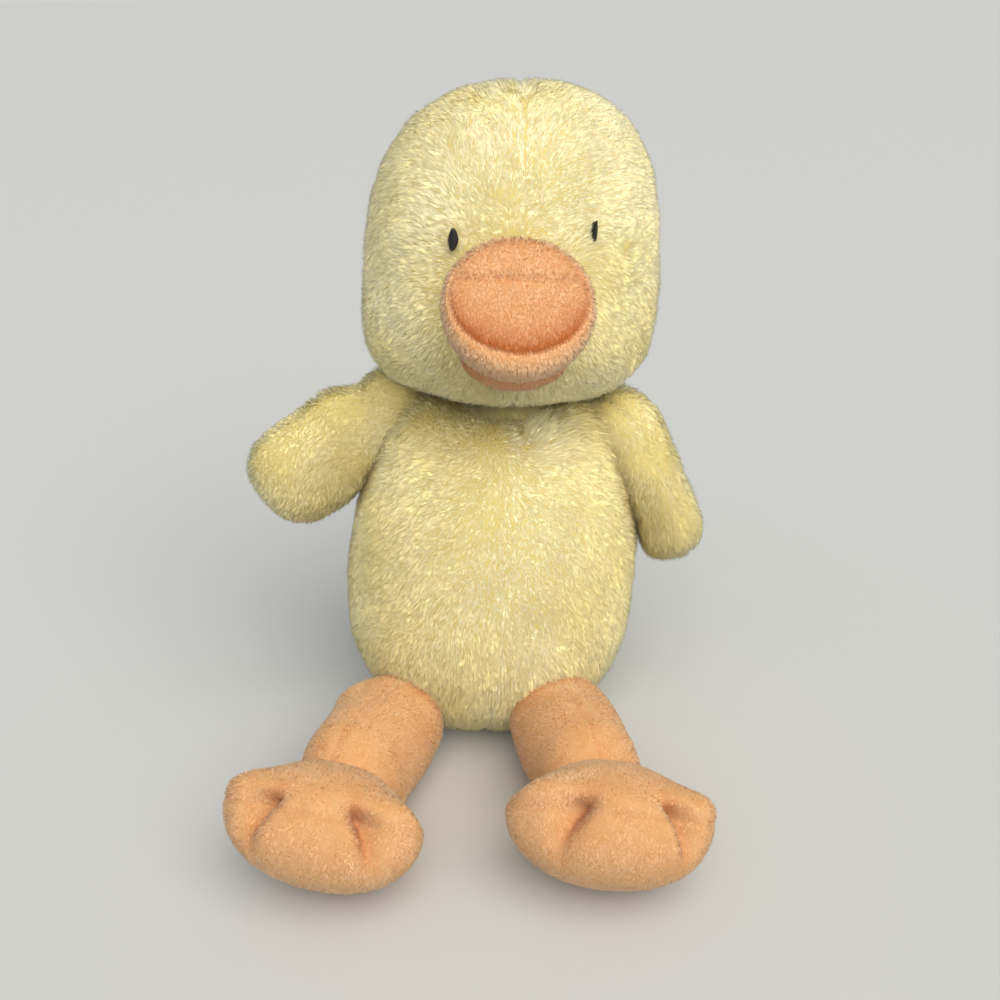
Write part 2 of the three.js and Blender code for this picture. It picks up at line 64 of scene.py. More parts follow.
def sun(name, towards, strength, spread, colour):
    """Even daylight from far away, soft by the degrees over which it spreads."""
    light = bpy.data.lights.new(name, "SUN")
    light.energy = strength
    light.angle = math.radians(spread)
    light.color = linear(colour)[:3]
    holder = bpy.data.objects.new(name, light)
    holder.matrix_world = Vector(towards).to_track_quat("-Z", "Y").to_matrix().to_4x4()
    bpy.context.collection.objects.link(holder)


sun("window_above", towards=(-0.33, 0.65, -1.0), strength=2.7, spread=65, colour="#fffaf0")
sun("wall_bounce", towards=(0.8, 0.6, -0.5), strength=0.15, spread=60, colour="#f4f8ff")


def add_node(tree, kind, settings=(), **links):
    """Adds a node, sets its properties, and links or sets its inputs, by name or, as i0, by number."""
    node = tree.nodes.new(kind)
    for name, value in dict(settings).items():
        setattr(node, name, value)
    for name, value in links.items():
        numbered = name[0] == "i" and name[1:].isdigit()
        socket = node.inputs[int(name[1:]) if numbered else name.replace("_", " ")]
        if isinstance(value, bpy.types.NodeSocket):
            tree.links.new(value, socket)
        else:
            socket.default_value = value
    return node


def new_material(name):
    material = bpy.data.materials.new(name)
    material.use_nodes = True
    tree = material.node_tree
    return material, tree, tree.nodes["Principled BSDF"]


def finished(name, bm, material, smooth=True):
    """The bmesh as a piece at the origin."""
    mesh = bpy.data.meshes.new(name)
    bm.to_mesh(mesh)
    bm.free()
    mesh.materials.append(material)
    mesh.shade_smooth() if smooth else mesh.shade_flat()
    piece = bpy.data.objects.new(name, mesh)
    bpy.context.collection.objects.link(piece)
    return piece


# The room lights the duck a little from all sides. The camera alone sees a plain grey wall in it.
world = bpy.data.worlds.new("pale_room")
world.use_nodes = True
room = world.node_tree
room.nodes["Background"].inputs["Color"].default_value = linear("#e2ebf2")
room.nodes["Background"].inputs["Strength"].default_value = 0.46
backdrop = add_node(room, "ShaderNodeBackground", Color=linear("#d2d2d0"), Strength=1.0)
ray = add_node(room, "ShaderNodeLightPath")
seen = add_node(room, "ShaderNodeMixShader", i0=ray.outputs["Is Camera Ray"],
                i1=room.nodes["Background"].outputs[0], i2=backdrop.outputs[0])
room.links.new(seen.outputs[0], room.nodes["World Output"].inputs["Surface"])
bpy.context.scene.world = world

# Floor paint: even pale grey, too dull to mirror the duck, so only its soft shadow shows.
floor_paint, tree, shader = new_material("Matt pale floor paint")
shader.inputs["Base Color"].default_value = linear("#cbcbca")
shader.inputs["Roughness"].default_value = 0.75
bm = bmesh.new()
bmesh.ops.create_grid(bm, x_segments=4, y_segments=4, size=80.0)
floor = finished("floor", bm, floor_paint, smooth=False)

# Body: a pear of three plush panels over loose polyester fibre. Two front panels meet in the middle
# seam, the back panel is sewn to both at the sides, and the whole leans back on its soft seat.
# Sizes are in millimetres, and those of the pieces sewn to the body are here too, where it meets them.
seat = Vector((-2.013, 19.805, 0.0)) * MM
FLOOR_SOFTNESS = 2.2 * MM
PILE_SHARE = 1.0
plush_inset, plush_blade, plush_clump = 0.8, 0.21, 2.6
body_sizes = dict(half_width=53, half_depth=44, above=74, below=54, power_above=2.6, power_below=2.1)
body_sink = 5
body_lean_back, body_lean_side, body_seam_turn = 8, 6, 6
neck_foot, neck_overlap, neck_radius = 77.5, 5, 22
shoulder_height, shoulder_radius, shoulder_dip = 66.6, 13.5, 2.5
wing_forward, wing_egg = 6, (19, 15, 36)
hip_spread, hip_forward, hip_radius, leg_middle = 30, 34, 18, 19
head_sizes = dict(half_width=49.5, half_depth=47, above=67, below=36, power_above=2.5, power_below=2.5)
head_lean_side, head_lean_back, head_turn = 3, 8, 3
# The last plush colour is painted shade, old gold, for folds and for the creases between parts.
plush_root, plush_tip, plush_bright, plush_shade_colour = "#e1d698", "#f1e8b0", "#fffeec", "#927a38"


def turned(*turns):
    """Turns by degrees about the named axes, one after the other."""
    matrix = Matrix()
    for axis, degrees in turns:
        matrix = matrix @ Matrix.Rotation(math.radians(degrees), 4, axis)
    return matrix


def plump(sizes, inset=0.0, sides=96, rings=64):
    """A round ball pulled into half a superellipse above its widest ring and half of another below."""
    bm = bmesh.new()
    for v in bmesh.ops.create_uvsphere(bm, u_segments=sides, v_segments=rings, radius=1.0)["verts"]:
        x, y, z = v.co
        lean = math.asin(max(-1.0, min(1.0, z)))
        power = sizes["power_below"] if z < 0 else sizes["power_above"]
        reach = (sizes["below"] if z < 0 else sizes["above"]) - inset
        around = math.atan2(y, x)
        ring = max(math.cos(lean), 0.0) ** (2 / power)
        v.co = Vector((
            (sizes["half_width"] - inset) * ring * math.cos(around),
            (sizes["half_depth"] - inset) * ring * math.sin(around),
            math.copysign(reach * abs(math.sin(lean)) ** (2 / power), z),
        )) * MM
    return bm


def width_at(sizes, height):
    """Half the width of a plump form at a height over its widest ring."""
    power = sizes["power_below"] if height < 0 else sizes["power_above"]
    reach = sizes["below"] if height < 0 else sizes["above"]
    return sizes["half_width"] * (1 - abs(height / reach) ** power) ** (1 / power)


def front_at(sizes, beside, height):
    """How far forward a plump form's surface lies, beside its middle and at a height."""
    return -math.sqrt(width_at(sizes, height) ** 2 - beside ** 2) * sizes["half_depth"] / sizes["half_width"]


def press(bm, place, away, softness, share=lambda co: 1.0):
    """Flattens a form softly against a plane, so that it stays on the side that away points to."""
    for v in bm.verts:
        depth = (v.co - place).dot(away)
        held = softness * math.log1p(math.exp(min(depth / softness, 300.0)))
        v.co += away * (held - depth) * share(v.co)


def settle(bm, rest=0.8 * MM):
    """Flattens what would sink into the floor, as soft filling does."""
    press(bm, Vector(), Vector((0, 0, 1)), FLOOR_SOFTNESS)
    lowest = min(v.co.z for v in bm.verts)
    bmesh.ops.translate(bm, verts=bm.verts, vec=(0, 0, rest - lowest))


def crease(bm, plane_frame, axis, depth, width, middle=0.0, where=lambda p: True):
    """Draws the cloth in along the plane of a seam."""
    inward = plane_frame.inverted()
    bm.normal_update()
    for v in bm.verts:
        p = inward @ v.co
        if where(p):
            v.co -= v.normal * depth * MM * math.exp(-(((p[axis] - middle * MM) / (width * MM)) ** 2))


def unit(vectors):
    return vectors / np.maximum(np.linalg.norm(vectors, axis=-1, keepdims=True), 1e-12)


def waves(seed, size, count=32):
    """A smooth random field, mostly within -1 and 1, in patches about size millimetres across."""
    random = np.random.default_rng(seed)
    ways = unit(random.normal(size=(count, 3))) * (2 * np.pi / (size * MM))
    pitch = ways * random.uniform(0.45, 1.2, (count, 1))
    phase = random.uniform(0, 2 * np.pi, count)
    height = 0.8 * math.sqrt(2 / count)
    return lambda points: np.sin(np.atleast_2d(points) @ pitch.T + phase).sum(1) * height


def roots_on(piece, per_mm2, seed):
    """Places for pile on a piece's faces, with the outward direction at each."""
    mesh = piece.data
    mesh.calc_loop_triangles()
    corners = np.empty(len(mesh.loop_triangles) * 3, np.int32)
    mesh.loop_triangles.foreach_get("vertices", corners)
    corners = corners.reshape(-1, 3)
    places, normals = np.empty((2, len(mesh.vertices) * 3))
    mesh.vertices.foreach_get("co", places)
    mesh.vertices.foreach_get("normal", normals)
    places, normals = places.reshape(-1, 3), normals.reshape(-1, 3)
    a, b, c = (places[corners[:, i]] for i in range(3))
    area = np.linalg.norm(np.cross(b - a, c - a), axis=1) / 2
    random = np.random.default_rng(seed)
    total = int(area.sum() / MM ** 2 * per_mm2 * PILE_SHARE)
    face = np.minimum(np.searchsorted(np.cumsum(area), random.uniform(0, area.sum(), total)), len(area) - 1)
    s, t = np.sqrt(random.uniform(size=total)), random.uniform(size=total)
    share = np.stack([1 - s, s * (1 - t), s * t], 1)[:, :, None]
    return (places[corners[face]] * share).sum(1), unit((normals[corners[face]] * share).sum(1))


def within(frame_at, points):
    """The points in a frame's own millimetres."""
    inward = np.asarray(frame_at.inverted())
    return (points @ inward[:3, :3].T + inward[:3, 3]) / MM


def inside_ball(points, centre, radius):
    return np.linalg.norm(points - np.asarray(centre), axis=1) < radius * MM


def closeness(points, frame_at, half_sizes, reach):
    """1 in a neighbour's egg-shaped outline, and falling to 0 over the reach in millimetres around it."""
    local = within(frame_at, points)
    far = np.linalg.norm(local / np.array(half_sizes), axis=1)
    gap = np.linalg.norm(local, axis=1) * (1 - 1 / np.maximum(far, 1.0))
    return np.exp(-((gap / reach) ** 2))


def along_seam(roots, beside):
    """1 where pile stands up bright out of a seam, in a broken line, by the distance beside the seam."""
    return np.exp(-((beside / 1.1) ** 2)) * np.clip(waves(44, 5)(roots) + 0.7, 0, 1)


def mark(mesh, name, values):
    """Keeps a number for each point, which the material reads."""
    mesh.attributes.new(name, "FLOAT", "POINT").data.foreach_set("value", values.astype(np.float32))


def lay_pile(name, roots, normals, combs, length, lean, width, material, seed, tuft=0.8, clump=0.0,
             spread=0.2, facet=0.17, tint=0.0, deep=0.0, calm=0.0):
    """One short tapered blade of fibre per root, combed along combs and standing lean degrees off the
    cloth. Blades within about a tuft's or a clump's width, in millimetres, draw together at their tips
    and share a shade. Where calm is 1 the pile is clipped even, without tufts."""
    gather, curl = 0.45, 0.45
    random = np.random.default_rng(seed)
    count = len(roots)
    stir = np.ones(count) - calm
    length = length * random.uniform(0.75, 1.15, count) * MM
    lean = np.radians(lean + random.normal(0, 7, count))[:, None]
    combs = unit(combs - normals * (combs * normals).sum(1, keepdims=True))
    combs = unit(combs + random.normal(0, 1, (count, 3)) * (spread + 0.35 * (1 - stir))[:, None])
    rise = normals * np.sin(lean) + combs * np.cos(lean)
    start = roots - normals * 0.4 * MM
    middle = start + unit(rise + normals * curl) * (length * 0.5 + 0.4 * MM)[:, None]
    tip = middle + unit(rise + combs * curl * 0.8 - normals * curl * 0.3) * (length * 0.5)[:, None]
    own = random.uniform(-0.15, 0.15, count) * (0.5 + 0.5 * stir)
    for cell, drawn in ((tuft, gather), (clump, 0.6 * gather)):
        if not cell:
            continue
        cells = np.round(roots / (cell * MM) + random.uniform(-0.35, 0.35, (count, 3))).astype(np.int64)
        _, tuft_of = np.unique(cells @ np.array([1, 4099, 16785409]), return_inverse=True)
        held = np.bincount(tuft_of)[:, None]
        pull = (drawn * stir * random.uniform(0.6, 1.1, count))[:, None]
        for points, share in ((middle, 0.35), (tip, 1.0)):
            mean = np.stack([np.bincount(tuft_of, points[:, i]) for i in range(3)], 1) / held
            points += (mean[tuft_of] - points) * pull * share
        own += random.uniform(-0.25, 0.25, len(held))[tuft_of] * (0.15 + 0.85 * stir)
    across = unit(np.cross(unit(tip - start), normals) + random.normal(0, 0.45, (count, 3)))
    facing = (np.cross(across, tip - start) * normals).sum(1, keepdims=True)
    across *= np.where(facing < 0, -1.0, 1.0)
    half = across * (width * 0.5 * MM)
    verts = np.stack([start, middle - half, middle + half, tip], 1).reshape(-1, 3)
    verts[:, 2] = np.maximum(verts[:, 2], 0.15 * MM)
    along, beside = np.array([0.0, 0.5, 0.5, 1.0]), np.array([0.5, 0.1, 0.9, 0.5])
    first, loops = np.array([0, 3]), np.array([0, 2, 1, 1, 2, 3])
    size = len(along)
    each = np.arange(count)[:, None]
    mesh = bpy.data.meshes.new(name)
    mesh.vertices.add(count * size)
    mesh.vertices.foreach_set("co", verts.ravel())
    mesh.loops.add(count * len(loops))
    mesh.loops.foreach_set("vertex_index", (each * size + loops).ravel().astype(np.int32))
    mesh.polygons.add(count * len(first))
    mesh.polygons.foreach_set("loop_start", (each * len(loops) + first).ravel().astype(np.int32))
    across_cells = math.ceil(math.sqrt(count))
    corner = np.stack([each[:, 0] % across_cells, each[:, 0] // across_cells], 1)[:, None, :]
    patch = np.stack([beside, along * 0.9 + 0.05], 1)[loops][None]
    layer = mesh.uv_layers.new(name="OFBake")
    layer.uv.foreach_set("vector", ((corner + patch) / across_cells).astype(np.float32).ravel())
    mark(mesh, "along", np.tile(along, count))
    mark(mesh, "tint", np.repeat(own + tint, size))
    mark(mesh, "deep", np.repeat(np.zeros(count) + deep, size))
    mesh.materials.append(material)
    mesh.update(calc_edges=True)
    mesh.shade_smooth()
    flat_side = unit(np.cross(across, unit(tip - start)))
    shading = normals * 0.9 + flat_side * (facet * stir)[:, None]
    mesh.normals_split_custom_set_from_vertices(unit(np.repeat(shading, size, 0)).tolist())
    piece = bpy.data.objects.new(name, mesh)
    bpy.context.collection.objects.link(piece)
    return piece


def pile_material(name, root, tip, bright, deep, rough, sheen, scatter):
    """Fibres deeper in colour at the root, paler at the tip, some brighter partly at random and partly as
    painted light, and painted shade in folds.
    """
    material, tree, shader = new_material(name)
    along = add_node(tree, "ShaderNodeAttribute", {"attribute_name": "along"})
    tint = add_node(tree, "ShaderNodeAttribute", {"attribute_name": "tint"})
    fade = add_node(tree, "ShaderNodeMapRange", i0=along.outputs["Fac"], i1=0.0, i2=0.85, i3=0.0, i4=1.0)
    fibre = add_node(tree, "ShaderNodeMix", {"data_type": "RGBA"},
                     i0=fade.outputs[0], i6=linear(root), i7=linear(tip))
    light = add_node(tree, "ShaderNodeMapRange", i0=tint.outputs["Fac"], i1=-1.0, i2=1.0, i3=0.0, i4=0.6)
    mixed = add_node(tree, "ShaderNodeMix", {"data_type": "RGBA"},
                     i0=light.outputs[0], i6=fibre.outputs[2], i7=linear(bright))
    fold = add_node(tree, "ShaderNodeAttribute", {"attribute_name": "deep"})
    cloth = add_node(tree, "ShaderNodeMix", {"data_type": "RGBA"},
                     i0=fold.outputs["Fac"], i6=mixed.outputs[2], i7=linear(deep))
    tree.links.new(cloth.outputs[2], shader.inputs["Base Color"])
    shader.inputs["Roughness"].default_value = rough
    shader.inputs["Specular IOR Level"].default_value = 0.2
    shader.inputs["Sheen Weight"].default_value = sheen
    shader.inputs["Sheen Roughness"].default_value = 0.4
    shader.subsurface_method = "BURLEY"
    shader.inputs["Subsurface Weight"].default_value = 0.8
    shader.inputs["Subsurface Radius"].default_value = (1.0, 0.9, 0.7)
    shader.inputs["Subsurface Scale"].default_value = scatter * MM
    return material


def backing_material(name, low, high, deep, size):
    """A knitted ground whose colour drifts a little, as dyed cloth under pile does, with painted shade in
    folds and seams.
    """
    material, tree, shader = new_material(name)
    place = add_node(tree, "ShaderNodeTexCoord")
    cloud = add_node(tree, "ShaderNodeTexNoise",
                     Vector=place.outputs["Object"], Scale=1 / (size * MM), Detail=4.0)
    drift = add_node(tree, "ShaderNodeMapRange", i0=cloud.outputs[0], i1=0.3, i2=0.7, i3=0.0, i4=1.0)
    mixed = add_node(tree, "ShaderNodeMix", {"data_type": "RGBA"},
                     i0=drift.outputs[0], i6=linear(low), i7=linear(high))
    fold = add_node(tree, "ShaderNodeAttribute", {"attribute_name": "deep"})
    cloth = add_node(tree, "ShaderNodeMix", {"data_type": "RGBA"},
                     i0=fold.outputs["Fac"], i6=mixed.outputs[2], i7=linear(deep))
    tree.links.new(cloth.outputs[2], shader.inputs["Base Color"])
    shader.inputs["Roughness"].default_value = 0.9
    shader.inputs["Specular IOR Level"].default_value = 0.15
    return material


def points_of(piece):
    places = np.empty(len(piece.data.vertices) * 3)
    piece.data.vertices.foreach_get("co", places)
    return places.reshape(-1, 3)


def paint_shade(piece, deep):
    """Marks how much painted shade each point of the cloth takes, deep in a fold or seam and under the bill.
    """
    mark(piece.data, "deep", np.clip(deep(points_of(piece)), 0, 1))


def sewn(piece, body_name, slot, *nodes):
    """The padded form moves with its body and takes the place of the part's nodes there."""
    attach(piece, body_name)
    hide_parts(*nodes)


def pile_on(piece, body_name):
    """Pile moves with its body. Light passes through it to the cloth, as it does between fine fibres."""
    piece.visible_shadow = False
    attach(piece, body_name)


def bulge(bm, piece, reach, height):
    """Swells a form towards the piece sewn to it, as stretched cloth rounds the corner between them."""
    other = bmesh.new()
    other.from_mesh(piece.data)
    tree = BVHTree.FromBMesh(other)
    other.free()
    bm.normal_update()
    for v in bm.verts:
        place, normal, _, _ = tree.find_nearest(v.co, reach * MM)
        if place is not None:
            gap = max((v.co - place).dot(normal), 0.0)
            v.co += v.normal * height * MM * (1 - gap / (reach * MM)) ** 2


def swell(bm, at, reach, height):
    """Pushes the filling out round one place."""
    bm.normal_update()
    for v in bm.verts:
        v.co += v.normal * height * MM * math.exp(-(((v.co - at).length / (reach * MM)) ** 2))


# Plush pile: fine polyester fibre, matt and a little see-through, so it glows towards its pale tips.
# Painted shade turns it old gold where it closes in a fold.
plush_pile = pile_material("Brushed polyester plush pile", plush_root, plush_tip, plush_bright, plush_shade_colour,
                           rough=0.8, sheen=0.1, scatter=0.8)
# Plush backing: the knitted ground that holds the pile, dull and stronger in colour, seen only where
# the pile parts.
plush_backing = backing_material("Knitted plush backing", "#dcca80", "#ead98e", plush_shade_colour, size=6)

# The body's place, and where the neck, head, wings and legs are sewn to it, because the filling and
# the pile round those seams depend on them.
spine = turned(("Y", body_lean_side), ("X", -body_lean_back))
body_up = spine.to_3x3() @ Vector((0, 0, 1))
body_frame = Matrix.Translation(seat + body_up * ((body_sizes["below"] - body_sink) / body_up.z * MM)) @ spine
body_seams = body_frame @ turned(("Z", body_seam_turn))
neck_pivot = body_frame @ (Vector((0, 0, neck_foot + neck_overlap - neck_radius)) * MM)
head_tilt = (("Y", head_lean_side), ("X", -head_lean_back))
head_up = turned(*head_tilt).to_3x3() @ Vector((0, 0, 1))
head_place = body_frame @ (Vector((0, 0, neck_foot)) * MM) + head_up * head_sizes["below"] * MM
head_frame = Matrix.Translation(head_place) @ turned(*head_tilt, ("Z", head_turn))
shoulders, hips, wing_frames = {}, {}, {}
for side, sign, droop, roll in (("right", -1, 31, 0), ("left", 1, 64, 55)):
    beside = width_at(body_sizes, shoulder_height) + shoulder_radius - shoulder_dip
    shoulders[side] = body_frame @ (Vector((sign * beside, 0, shoulder_height)) * MM)
    hang = turned(("Z", -sign * wing_forward), ("Y", sign * (90 + droop)), ("Z", roll))
    wing_frames[side] = Matrix.Translation(shoulders[side]) @ hang
    hips[side] = seat + Vector((sign * hip_spread, -hip_forward, leg_middle)) * MM
wing_middle = Matrix.Translation((0, 0, 24 * MM))
head_middle = Matrix.Translation((0, 0, 10 * MM))

bm = plump(body_sizes, plush_inset)
bm.transform(body_frame)
settle(bm)
for side in shoulders:
    swell(bm, shoulders[side].lerp(neck_pivot, 0.25) + body_up * 5 * MM, reach=17, height=9)
crease(bm, body_seams, axis=0, depth=1.2, width=1.6, where=lambda p: p.y < 0)
crease(bm, body_seams, axis=1, depth=1.2, width=2.0)
body = finished("body_padding", bm, plush_backing)
sewn(body, "torso", "yellow_plush",
     "body_stuffing", "body_front_right_panel", "body_front_left_panel", "body_back_panel")

# The body's pile is combed down. It stands short and even on the chest, and longer at the collar and
# beside the wings. It leaves the places free where neck, wings and legs are sewn on.
roots, normals = roots_on(body, per_mm2=5.4, seed=11)
kept = ~inside_ball(roots, neck_pivot, neck_radius - 1)
for side in shoulders:
    kept &= ~inside_ball(roots, shoulders[side], shoulder_radius - 2)
    kept &= ~inside_ball(roots, hips[side], hip_radius - 3)
roots, normals = roots[kept], normals[kept]
local = within(body_seams, roots)
on_front = local[:, 1] < 0
chest, chest_wide, chest_tall = np.array([1.0, -43.0, 26.0]), 24, 26
off_chest = local - chest
smooth = np.exp(-((off_chest[:, 0] / chest_wide) ** 2 + (off_chest[:, 2] / chest_tall) ** 2)) * on_front
falling = np.minimum(off_chest[:, 2] - chest_tall, 0)
outward = np.stack([off_chest[:, 0] * 1.2, np.zeros(len(roots)), falling], 1) / 40
outward *= np.clip(0.5 - local[:, 1] / 40, 0, 1)[:, None]
combs = outward @ np.asarray(body_seams)[:3, :3].T + np.array([0, 0, -0.75])
for i in range(3):
    combs[:, i] += 0.38 * waves(21 + i, 34)(roots) + 0.22 * waves(31 + i, 9)(roots)
collar = np.clip((local[:, 2] - 58) / 10, 0, 1)
seam_glow = along_seam(roots, local[:, 0]) * on_front
lean = 33 + 28 * np.maximum(smooth, collar) + 9 * waves(41, 14)(roots)
# Painted light and shade: besides random tone, the tint brightens the chest and darkens the sides and the
# lower body.
tint = 0.3 * waves(43, 30)(roots) + 1.05 * smooth - 0.5 * np.abs(local[:, 0]) / 50 - 0.2
tint = tint - 0.3 * np.clip(-local[:, 2] / 40, 0, 1) + 0.9 * seam_glow
# Painted shade: deep darkens the pile where the head and the wings meet the body.
deep = 0.35 * closeness(roots, head_frame @ head_middle, (42, 42, 47), reach=4)
for side in wing_frames:
    deep = np.maximum(deep, 0.7 * closeness(roots, wing_frames[side] @ wing_middle, wing_egg, reach=4))
length = 3.9 - 1.6 * smooth + 2.2 * collar + 2.0 * deep + 0.4 * waves(42, 20)(roots)
length *= np.where(roots[:, 2] < 1.6 * MM, 0.4, 1.0)
calm = np.clip(smooth * 1.3 + 0.25 * waves(45, 26)(roots), 0, 1) * (1 - seam_glow)
for panel, here in (
    ("front_right", on_front & (local[:, 0] < 0)),
    ("front_left", on_front & (local[:, 0] >= 0)),
    ("back", ~on_front & (np.arange(len(roots)) % 8 > 0)),
):
    pile = lay_pile(f"body_{panel}_pile", roots[here], normals[here], combs[here], length[here], lean[here],
                    plush_blade, plush_pile, seed=51, clump=plush_clump,
                    tint=tint[here], deep=deep[here], calm=calm[here])
    pile_on(pile, "torso")

# Neck: a short roll of the same plush, filled with fibre and sewn to body and head, so that the head
# can nod and turn on it. The cheeks hide almost all of it.
neck_waist, neck_bottom, neck_bare_to = 16.2, 12.1, 71
bm = bmesh.new()
bmesh.ops.create_uvsphere(bm, u_segments=64, v_segments=32, radius=(neck_radius - plush_inset) * MM)
for v in bm.verts:
    beside = math.hypot(v.co.x, v.co.y)
    if beside > neck_waist * MM:
        v.co.xy *= neck_waist * MM / beside
press(bm, Vector((0, 0, neck_bottom * MM)), away=Vector((0, 0, 1)), softness=0.8 * MM)
bm.transform(Matrix.Translation(neck_pivot) @ body_frame.to_3x3().to_4x4())
neck = finished("neck_padding", bm, plush_backing)
sewn(neck, "neck", "yellow_plush", "neck_roll")
roots, normals = roots_on(neck, per_mm2=5.0, seed=61)
kept = within(body_frame, roots)[:, 2] > neck_bare_to
roots, normals = roots[kept], normals[kept]
combs = np.tile([0.0, 0.0, -1.0], (len(roots), 1))
# The neck's pile takes painted shade all over, as it lies in the shade of the head.
pile = lay_pile("neck_pile", roots, normals, combs, length=6.0, lean=30.0, width=0.25,
                material=plush_pile, seed=62, deep=0.4)
pile_on(pile, "neck")

# Tail: a small flattened cone of plush over a pinch of fibre, sewn into the lower back so that its
# tip points a little upwards.
tail_sizes = dict(half_width=15, half_depth=7.5, above=24, below=7.5, power_above=2.2, power_below=2.2)
tail_sink, tail_height, tail_rise = 7, 17, 18
back_middle = body_frame @ (Vector((0, body_sizes["half_depth"] - tail_sink, 0)) * MM)
back_middle.z = tail_height * MM
tail_frame = Matrix.Translation(back_middle) @ turned(("X", tail_rise - 90))
bm = plump(tail_sizes, plush_inset, sides=48, rings=32)
bm.transform(tail_frame)
settle(bm)
tail = finished("tail_padding", bm, plush_backing)
sewn(tail, "torso", "yellow_plush", "tail")
roots, normals = roots_on(tail, per_mm2=5.0, seed=64)
tip_way = np.asarray(tail_frame.to_3x3() @ Vector((0, 0, 1)))
combs = np.tile(tip_way, (len(roots), 1)) + np.array([0, 0, -0.3])
pile = lay_pile("tail_pile", roots, normals, combs, length=3.8, lean=36.0, width=0.25,
                material=plush_pile, seed=65, tint=0.3 * waves(66, 12)(roots))
pile_on(pile, "torso")

# Head: two plush panels joined in a seam from the bill over the crown to the nape, and packed firmer
# than the body. Filling by hand has left the crown fuller on the left and the cheeks uneven.
bm = plump(head_sizes, plush_inset)
bm.transform(head_frame)
for place, reach, height in (
    ((24, -8, 50), 22, 3.2),
    ((-40, -12, -20), 16, 3.0),
    ((38, -12, -26), 14, 2.2),
):
    swell(bm, head_frame @ (Vector(place) * MM), reach, height)
crease(bm, head_frame, axis=0, depth=1.1, width=1.5, where=lambda p: p.z > -20 * MM)
head = finished("head_padding", bm, plush_backing)
sewn(head, "head", "yellow_plush", "head_stuffing", "head_right_panel", "head_left_panel")

# The head's pile runs away from the bill, is clipped close round it, smooth on the brow and longest
# under the chin. None grows under the bill itself.
bill_centre = np.array([-2.0, -47.0, 2.0])


def bill_oval(local, half_width, half_height):
    """How far from the bill's middle the places lie, seen from the front: 1 on an oval of this size."""
    return np.hypot((local[:, 0] - bill_centre[0]) / half_width, (local[:, 2] - bill_centre[2]) / half_height)


roots, normals = roots_on(head, per_mm2=5.8, seed=71)
local = within(head_frame, roots)
kept = (bill_oval(local, 19, 17) > 1) | (local[:, 1] > 0)
kept &= ~inside_ball(roots, neck_pivot, neck_radius - 1)
roots, normals, local = roots[kept], normals[kept], local[kept]
face = np.clip(-local[:, 1] / 47, 0, 1)
brow = np.exp(-((local[:, 0] / 27) ** 2 + ((local[:, 2] - 45) / 22) ** 2)) * (local[:, 1] < 16)
from_bill = unit(local - bill_centre)
combs = np.stack([np.sign(local[:, 0]) * 0.7, 0.5 * np.ones(len(roots)), -0.8 * np.ones(len(roots))], 1)
combs = combs * (1.15 - face)[:, None] + from_bill * (face * 1.1)[:, None]
combs += np.array([0, 0.2, -0.4]) * face[:, None]
combs = combs @ np.asarray(head_frame)[:3, :3].T
for i in range(3):
    combs[:, i] += 0.4 * waves(81 + i, 30)(roots) + 0.25 * waves(91 + i, 8)(roots)
chin = np.clip((-local[:, 2] - 20) / 12, 0, 1)
lean = 34 + 14 * brow - 8 * chin + 9 * waves(41, 14)(roots)
length = 4.0 - 1.4 * brow + 0.7 * chin + 0.4 * waves(42, 20)(roots)
by_bill = np.where(local[:, 1] < 0, bill_oval(local, 23, 21), 2)
length = length * np.clip((by_bill - 0.6) / 0.7, 0.45, 1.0)
seam_glow = along_seam(roots, local[:, 0])
# Painted light and shade: besides random tone, the tint brightens the brow and darkens the head towards the
# chin.
tint = 0.3 * waves(43, 30)(roots) + 0.8 * brow - 0.3 * np.clip((20 - local[:, 2]) / 50, 0, 1)
tint += 0.9 * seam_glow
body_middle, body_egg = body_frame @ Matrix.Translation((0, 0, 10 * MM)), (52, 43, 66)
# Painted shade: deep darkens the pile under the chin, where the head meets the body and the wings.
deep = 0.5 * closeness(roots, body_middle, body_egg, reach=5)
for side in wing_frames:
    deep = np.maximum(deep, 0.5 * closeness(roots, wing_frames[side] @ wing_middle, wing_egg, reach=4))
length += 2.5 * deep
calm = np.clip(brow * 1.3 + 0.25 * waves(45, 26)(roots), 0, 1) * (1 - seam_glow)
for side, here in (("right", local[:, 0] < 0), ("left", local[:, 0] >= 0)):
    pile = lay_pile(f"head_{side}_pile", roots[here], normals[here], combs[here], length[here], lean[here],
                    plush_blade, plush_pile, seed=72, clump=plush_clump,
                    tint=tint[here], deep=deep[here], calm=calm[here])
    pile_on(pile, "head")

# Bill: a padded oval top panel sewn inside the rolled edge of its underside, and a small lip below it,
# all in short-napped velour over a little fibre.
# The last velour colour is painted shade, burnt orange, for seams and creases.
velour_root, velour_tip, velour_bright, velour_shade_colour = "#d29e66", "#e0b381", "#f2d4ae", "#c06d38"
# Velour nap: very short, dense fibre, matt with a faint bloom where it leans, apricot, with painted shade
# of burnt orange in the seams.
velour_nap = pile_material("Velour nap", velour_root, velour_tip, velour_bright, velour_shade_colour,
                           rough=0.85, sheen=0.25, scatter=0.35)
